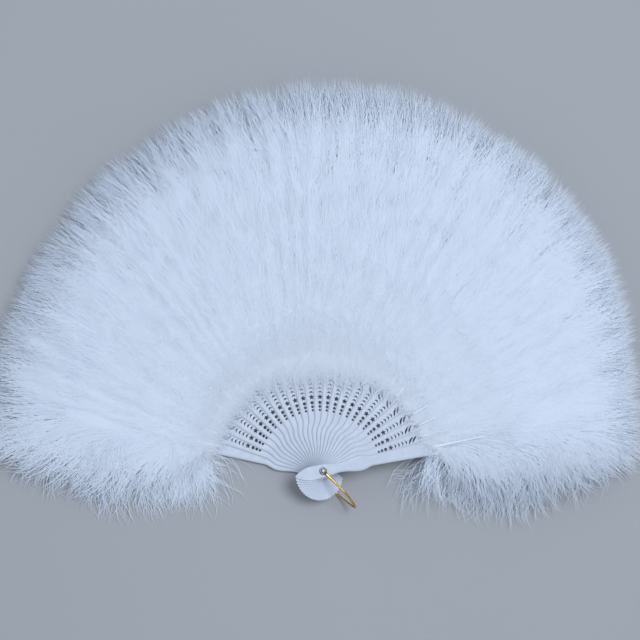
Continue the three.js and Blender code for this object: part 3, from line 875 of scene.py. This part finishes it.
# Barbs over the core and under it.
COVER_COUNT = 1360
LOBE_COVER_COUNT = 1900
UNDER_COUNT = 140
ROOTING_START = 0.003
COVER_SETBACK = 0.038
EARLY_PART = 6
EARLY_DEPTH = 0.04
COVER_OVERLAP = 1.15
LOBE_LEAST = 0.006
BARE_QUILL_GAP = 0.003
COVER_SPLAY_DEGREES = 15
COVER_DROOP_DEGREES = 104
COVER_LIFT_DEGREES = 90
DROOP_POWER = 1.6
SPLAY_POWER = 0.7
COMB_SHARE = 0.6
COVER_SCATTER = np.radians(7)
COVER_CURL = np.radians(14)
COVER_SWAY = np.radians(4)
LOBE_CURL_SHARE = 0.25
COVER_DEPTHS = (0.12, 0.9)
COVER_LENGTHS = (0.030, 0.065)
COVER_SHORTEST = 0.008
LEAST_COSINE = 0.2
LOBE_BARE_GAIN = 1.4
LOBE_BARE_LESS = 0.4
COVER_SEAT = 0.00015
COVER_LIFTS = (0.0001, 0.00045)
COVER_ARCH = 0.4 + 2.4 * LAID - 1.8 * LAID**2
TABLE_GAP = 0.0012
UNDER_HEIGHT = 0.004
COVER_WIDTHS = (0.00016, 0.00030)
COVER_TONE = 0.54


def covering(plume, draw, count, under):
    """Barbs over the core, or under it: rooted evenly all over it and more thickly at its start, and
    heading outwards and slightly away from the quill. They follow the surface closely, raised in a
    low parabola, or lie level just over the table, and end in the inner part of the fringe."""
    inner, outer = plume.start + ROOTING_START, plume.tip - COVER_SETBACK
    u = np.sqrt(draw.uniform(inner**2, outer**2, count))
    early = count // EARLY_PART
    u[:early] = inner + draw.uniform(0, EARLY_DEPTH, early)
    side = draw.uniform(-1, 1, count)
    reach = plume.half(u, side)
    hangs = plume.hangs(side)
    v = side * np.where(hangs, np.maximum(reach - LOBE_FRINGE, LOBE_LEAST), reach * COVER_OVERLAP)
    if plume.right_lobe:
        by_quill = (np.abs(v) < BARE_QUILL_GAP) & (u < BARE_QUILL_END)
        v = np.where(by_quill, np.sign(side) * BARE_QUILL_GAP, v)
    droop = COVER_DROOP_DEGREES - COVER_LIFT_DEGREES * plume.share(u) ** DROOP_POWER
    splay = np.radians(np.where(hangs, droop, COVER_SPLAY_DEGREES)) * np.abs(side) ** SPLAY_POWER
    splay = splay * np.sign(side)
    lie = COMB_SHARE * plume.between(combed, u, v) * plume.share(u)
    heading = splay + lie + draw.normal(0, COVER_SCATTER, count)
    curl = draw.normal(0, COVER_CURL, count) - LOBE_CURL_SHARE * splay * hangs
    depth = draw.uniform(*COVER_DEPTHS, count)
    rim_room = plume.between(tips, u, v) + FRINGE - FRINGE_DEPTH * depth - u
    side_room = reach - np.abs(v) - LOBE_FRINGE * (LOBE_BARE_GAIN * depth - LOBE_BARE_LESS)
    lobe_room = np.minimum(side_room, rim_room / np.cos(splay).clip(LEAST_COSINE))
    length = np.minimum(draw.uniform(*COVER_LENGTHS, count), np.where(hangs, lobe_room, rim_room))
    length = np.maximum(length, COVER_SHORTEST)
    phase = draw.uniform(0, 2 * np.pi, count)
    uu, vv = strand_paths(u, v, heading, curl, phase, COVER_SWAY, length, LAID)
    lift = draw.uniform(*COVER_LIFTS, count)[:, None]
    if under:
        height = plume.table + TABLE_GAP + draw.uniform(0, UNDER_HEIGHT, count)
        ww = np.repeat(height[:, None], len(LAID), axis=1)
    else:
        ww = plume.cover(uu, vv) - CORE_DEPTH - COVER_SEAT + lift * COVER_ARCH
    return np.stack([uu, vv, ww], axis=-1), draw.uniform(*COVER_WIDTHS, count), COVER_TONE


# Locks of free barbs: what a whole lock shares, and what each barb adds to it.
LOCK_TURN = np.radians(7)
BARB_TURN = np.radians(5)
LOCK_CURL = np.radians(24)
BARB_CURL = np.radians(12)
BARB_PHASE = 0.6
LOCK_SINK = 0.93
LOCK_SINK_POWER = 1.4
BARB_SINK = 0.04
LEAST_HEIGHT = 0.05
LOCK_SHORTNESS = 0.7
BARB_SHORTNESS = 0.3
PULL_POWER = 1.3


def in_locks(draw, count, homes, spread, wild):
    """Barbs gathered into locks at given homes: for each barb, its lock's home, its own place beside
    it, and its lock's turn, curl, phase, height and shortness with a little of its own added. Wild
    locks turn and curl more."""
    locks = len(homes)
    lock = draw.integers(0, locks, count)
    home = homes[lock]
    turn = wild * (draw.normal(0, LOCK_TURN, locks)[lock] + draw.normal(0, BARB_TURN, count))
    curl = wild * (draw.normal(0, LOCK_CURL, locks)[lock] + draw.normal(0, BARB_CURL, count))
    phase = draw.uniform(0, 2 * np.pi, locks)[lock] + draw.normal(0, BARB_PHASE, count)
    height = 1 - LOCK_SINK * draw.uniform(0, 1, locks)[lock] ** LOCK_SINK_POWER
    height = (height + draw.normal(0, BARB_SINK, count)).clip(LEAST_HEIGHT, 1)
    short = draw.uniform(0, LOCK_SHORTNESS, locks)[lock] + draw.uniform(0, BARB_SHORTNESS, count)
    return home, home + draw.normal(0, spread, count), turn, curl, phase, height, short


# Free barbs at the rim.
RIM_COUNT = 640
RIM_LOCKS = 26
RIM_LOCK = 0.0017
RIM_WILDNESS = 0.75
RIM_ROOTING = 0.030
RIM_PULL = 0.70
RIM_SWAY = np.radians(8)
COMB_CURL_SHARE = 0.8
EDGE_SHARE = 0.55
EDGE_DEPTH = 0.016
INNER_DEPTHS = (0.1, 0.9)
RIM_SHORTEST = 0.014
RIM_FLOOR = 0.001
RIM_WIDTHS = (0.00010, 0.00017)
RIM_TONE = 0.52


def fringing(plume, draw, count):
    """Free barbs at the rim: rooted in the core at all heights, combed side by side, drawn together
    into thin locks by a power of the way to their tips, and mostly reaching the edge."""
    sector = plume.tip * np.tan(pitch / 2)
    steps = np.arange(RIM_LOCKS) + draw.uniform(0, 1, RIM_LOCKS)
    homes = (2 * SECTOR_OVERLAP * steps / RIM_LOCKS - SECTOR_OVERLAP) * sector
    home, v, turn, curl, phase, height, short = in_locks(draw, count, homes, RIM_LOCK, RIM_WILDNESS)
    u = plume.tip + FRINGE - FRINGE_DEPTH - draw.uniform(0, RIM_ROOTING, count)
    lie = plume.between(combed, u, home)
    heading = turn + COMB_SHARE * lie
    curl += COMB_CURL_SHARE * lie
    at_edge = draw.uniform(0, 1, count) < EDGE_SHARE
    inside = np.where(at_edge, EDGE_DEPTH * short, FRINGE_DEPTH * draw.uniform(*INNER_DEPTHS, count))
    length = np.maximum(plume.between(tips, u, v) + FRINGE - inside - u, RIM_SHORTEST)
    uu, vv = strand_paths(u, v, heading, curl, phase, RIM_SWAY, length, FREE)
    vv += RIM_PULL * (home - v)[:, None] * FREE**PULL_POWER
    ceiling = plume.cover(uu, vv.clip(-sector, sector))
    ww = plume.table + RIM_FLOOR + height[:, None] * (ceiling - plume.table - RIM_FLOOR)
    return np.stack([uu, vv, ww], axis=-1), draw.uniform(*RIM_WIDTHS, count), RIM_TONE


# Fluff that lies back over the blades from the roots: a short thick kind, and a fine veil that is
# thickest and reaches furthest towards the rivet in the middle of the fan, and thins to the right.
ROOT_COUNT = 200
VEIL_COUNT = 250
VEIL_LEAST = 0.5
VEIL_GAIN = 1.3
ROOT_FLUFF = {"depth": 0.075, "power": 2, "scatter": np.radians(60), "back": 0.006, "back_gain": 0.004,
              "lift": 0.0008, "widths": (0.00012, 0.0002)}
FINE_VEIL = {"depth": 0.040, "power": 3, "scatter": np.radians(42), "back": 0.008, "back_gain": 0.028,
             "lift": 0.0014, "widths": (0.00007, 0.00013)}
FLUFF_CURL = np.radians(60)
FLUFF_SWAY = np.radians(15)
FLUFF_SHORTEST = 0.006
FLUFF_LENGTHS = (0.3, 1.0)
FLUFF_LENGTH_POWER = 1.2
FLUFF_LEAST_LIFT = 0.0002
FLUFF_ARCH = 0.6 + 1.4 * LAID - 1.6 * LAID**2
# The fluff's tone is painted lighter than the rest of the down: painted light that cancels the shade its tangled
# strands cast on each other.
FLUFF_TONE_PAINTED_LIGHTER = 0.95


def veiling(plume, draw, count, kind):
    """Short fluff that is rooted most thickly at the start of the down, by a power of the depth, and
    lies back towards the rivet, over the core in a low parabola."""
    u = plume.start + ROOTING_START + kind["depth"] * draw.uniform(0, 1, count) ** kind["power"]
    v = draw.uniform(-SECTOR_OVERLAP, SECTOR_OVERLAP, count) * u * np.tan(pitch / 2)
    heading = np.pi + draw.normal(0, kind["scatter"], count)
    curl = draw.normal(0, FLUFF_CURL, count)
    back = kind["back"] + kind["back_gain"] * plume.veil
    length = back * draw.uniform(*FLUFF_LENGTHS, count) ** FLUFF_LENGTH_POWER + FLUFF_SHORTEST
    phase = draw.uniform(0, 2 * np.pi, count)
    uu, vv = strand_paths(u, v, heading, curl, phase, FLUFF_SWAY, length, LAID)
    lift = draw.uniform(FLUFF_LEAST_LIFT, kind["lift"], count)[:, None]
    ww = plume.cover(uu, vv) - CORE_DEPTH + lift * FLUFF_ARCH
    # The fluff carries its painted lighter tone, which stands in for light among its shaded strands.
    return np.stack([uu, vv, ww], axis=-1), draw.uniform(*kind["widths"], count), FLUFF_TONE_PAINTED_LIGHTER


# Long free barbs that hang past the guards.
HANG_COUNT = 2150
HANG_LOCKS = 140
LOBE_LOCK = 0.0026
LOBE_WILDNESS = 1
ROOT_WILDNESS = 1.6
HANG_START = 0.091
HANG_SHORTFALL = 0.107
HANG_ROOTING = 0.016
HANG_LEAST = (0.001, 0.012)
HANG_TURN_DEGREES = 112
HANG_LIFT_DEGREES = 96
FRONT_LEAN_DEGREES = 6
REAR_LEAN_DEGREES = 24
HANG_LENGTH = 0.061
HANG_SHORTNESS = 0.042
HANG_TIP_SHORTNESS = 0.38
HANG_SWAY = np.radians(24)
LOBE_PULL = 0.84
BLADE_CLEARING = 0.006
BLADE_DROP = 0.0004
HANG_LEAST_HEIGHT = 0.001
HANG_WIDTHS = (0.00012, 0.00022)
HANG_TONE = 0.52


def hanging(plume, draw, count):
    """Long free barbs of a guard's plume, in locks: they leave the lobe's core across the guard, turn
    outwards near the tip by powers of the share, sway, and sink to the table by their lock's height.
    Beside the blade they stay below the stick."""
    outward = 1 if plume.left_lobe else -1
    lean = FRONT_LEAN_DEGREES if plume.right_lobe else REAR_LEAN_DEGREES
    steps = np.arange(HANG_LOCKS) + draw.uniform(0, 1, HANG_LOCKS)
    homes = HANG_START + (plume.tip - HANG_SHORTFALL) * steps / HANG_LOCKS
    home, u, turn, curl, phase, height, short = in_locks(draw, count, homes, LOBE_LOCK, LOBE_WILDNESS)
    share = plume.share(home)
    at_root = (1 - share) ** LOBE_POWER
    turn *= 1 + ROOT_WILDNESS * at_root
    lobe = plume.half(home, np.full(count, outward))
    rooted = lobe - LOBE_FRINGE - draw.uniform(0, HANG_ROOTING, count)
    v = outward * np.maximum(rooted, draw.uniform(*HANG_LEAST, count))
    aim = HANG_TURN_DEGREES + lean * at_root - HANG_LIFT_DEGREES * share**DROOP_POWER
    heading = outward * (np.radians(aim) + turn)
    length = (HANG_LENGTH - HANG_SHORTNESS * short) * (1 - HANG_TIP_SHORTNESS * share**2)
    uu, vv = strand_paths(u, v, heading, outward * curl, phase, HANG_SWAY, length, FREE)
    uu += LOBE_PULL * (home - u)[:, None] * FREE**PULL_POWER
    clear = np.clip((uu - BLADE_END) / BLADE_CLEARING, 0, 1)
    ceiling = clear * plume.cover(uu, vv) - (1 - clear) * BLADE_DROP
    room = np.maximum(ceiling - plume.table - TABLE_GAP, HANG_LEAST_HEIGHT)
    ww = plume.table + TABLE_GAP + height[:, None] * room
    return np.stack([uu, vv, ww], axis=-1), draw.uniform(*HANG_WIDTHS, count), HANG_TONE


FIRST_SEED = 1000
BARB_FLOOR = 0.0006
CORE_TONE = 0.52
TONE_SPREAD = 0.06
for stick, node in zip(sticks, plume_names):
    plume = Plume(stick)
    draw = np.random.default_rng(FIRST_SEED + plume.place)
    is_guard = plume.left_lobe or plume.right_lobe
    veil_count = int(VEIL_COUNT * (VEIL_LEAST + VEIL_GAIN * plume.veil))
    groups = [
        covering(plume, draw, COVER_COUNT + is_guard * LOBE_COVER_COUNT, False),
        covering(plume, draw, UNDER_COUNT * (1 + is_guard), True),
        fringing(plume, draw, RIM_COUNT),
        veiling(plume, draw, ROOT_COUNT, ROOT_FLUFF),
        veiling(plume, draw, veil_count, FINE_VEIL),
    ]
    if is_guard:
        groups.append(hanging(plume, draw, HANG_COUNT))
    core = core_mesh(plume)
    meshes = [core]
    tones = [np.full(len(core[0]), CORE_TONE)]
    for lines, radius, tone in groups:
        lines[..., 2] = np.maximum(lines[..., 2], plume.table + BARB_FLOOR)
        strands = strand_mesh(lines, radius)
        meshes.append(strands)
        shades = tone + draw.uniform(-TONE_SPREAD, TONE_SPREAD, len(radius))
        tones.append(np.repeat(shades, len(strands[0]) // len(radius)))
    points, quads, triangles = joined(meshes)
    points = plume.set_in_fan(points)
    piece = new_piece(node + "_down", points, quads, triangles, down)
    in_core = np.arange(len(piece.data.polygons)) < len(core[1])
    piece.data.polygons.foreach_set("use_smooth", in_core)
    attribute = piece.data.attributes.new("tone", "FLOAT", "POINT")
    attribute.data.foreach_set("value", np.concatenate(tones).astype(np.float32))
    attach(piece, body_of[node])
    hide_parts(node)
    points, quads, triangles = quill_mesh(plume)
    points = plume.set_in_fan(points)
    piece = new_piece(node + "_quill", points, quads, triangles, horn, (True, False))
    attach(piece, body_of[node])

# Stage: a plain pale floor, a soft sky and one large lamp, and a camera nearly overhead. The view
# transform is the plain one, which keeps the contrast of white on white.
FLOOR_SIZE = 6.0
FLOOR_COLOUR = (0.49, 0.48, 0.47, 1.0)
FLOOR_SHADE = (0.4753, 0.4656, 0.4559, 1.0)
SKY_COLOUR = (0.74, 0.84, 1.0, 1.0)
SKY_STRENGTH = 0.475
LAMP_AT = (0.32, 0.36, 2.1)
LAMP_SIZE = 1.0
LAMP_POWER = 24
AIM = np.array([0.0, 0.120, 0.015])
TILT_LEFT = np.radians(15.09)
TILT_FRONT = np.radians(6.27)
ROLL = np.radians(0.46)
DISTANCE = 1.928
FOCAL_PIXELS = 2400
IMAGE_PIXELS = 640
AIM_OFFSET_PIXELS = np.array([0.66, -2.12])
SENSOR = 36.0
FARTHEST = 20

floor_finish, tree, shader = new_finish("pale floor")
mottle = noise(tree, scale=3, detail=2)
feed(shader, "Base Color", ramp(tree, mottle, FLOOR_SHADE, FLOOR_COLOUR))
set_inputs(shader, {"Roughness": 0.9})
points = np.array([[-1, -1, 0], [1, -1, 0], [1, 1, 0], [-1, 1, 0]]) * FLOOR_SIZE / 2
floor = new_piece("floor", points, np.array([[0, 1, 2, 3]]), NO_TRIANGLES, floor_finish)

sky = bpy.data.worlds.new("soft sky")
sky.use_nodes = True
set_inputs(sky.node_tree.nodes["Background"], {"Color": SKY_COLOUR, "Strength": SKY_STRENGTH})
bpy.context.scene.world = sky
bpy.context.scene.view_settings.view_transform = "Standard"

lamp = bpy.data.lights.new("key lamp", "AREA")
lamp.size = LAMP_SIZE
lamp.energy = LAMP_POWER
lamp.color = SKY_COLOUR[:3]
lamp_object = new_object("key lamp", lamp)
lamp_object.location = LAMP_AT
lamp_object.rotation_euler = (Vector(AIM) - Vector(LAMP_AT)).to_track_quat("-Z", "Y").to_euler()

back = np.array([-np.sin(TILT_LEFT), -np.sin(TILT_FRONT), 0.0])
back[2] = np.sqrt(1 - back[0] ** 2 - back[1] ** 2)
up = np.array([0.0, 1.0, 0.0]) - back[1] * back
up /= np.linalg.norm(up)
right = np.cross(up, back)
image_right = np.cos(ROLL) * right + np.sin(ROLL) * up
image_up = -np.sin(ROLL) * right + np.cos(ROLL) * up
pixel = DISTANCE / FOCAL_PIXELS
centre = AIM - pixel * (AIM_OFFSET_PIXELS[0] * image_right + AIM_OFFSET_PIXELS[1] * image_up)
lens = bpy.data.cameras.new("camera")
lens.sensor_width = SENSOR
lens.lens = SENSOR * FOCAL_PIXELS / IMAGE_PIXELS
lens.clip_end = FARTHEST
camera = new_object("camera", lens)
axes = Matrix(np.stack([image_right, image_up, back], axis=1).tolist()).to_4x4()
axes.translation = Vector(centre + DISTANCE * back)
camera.matrix_world = axes
bpy.context.scene.camera = camera
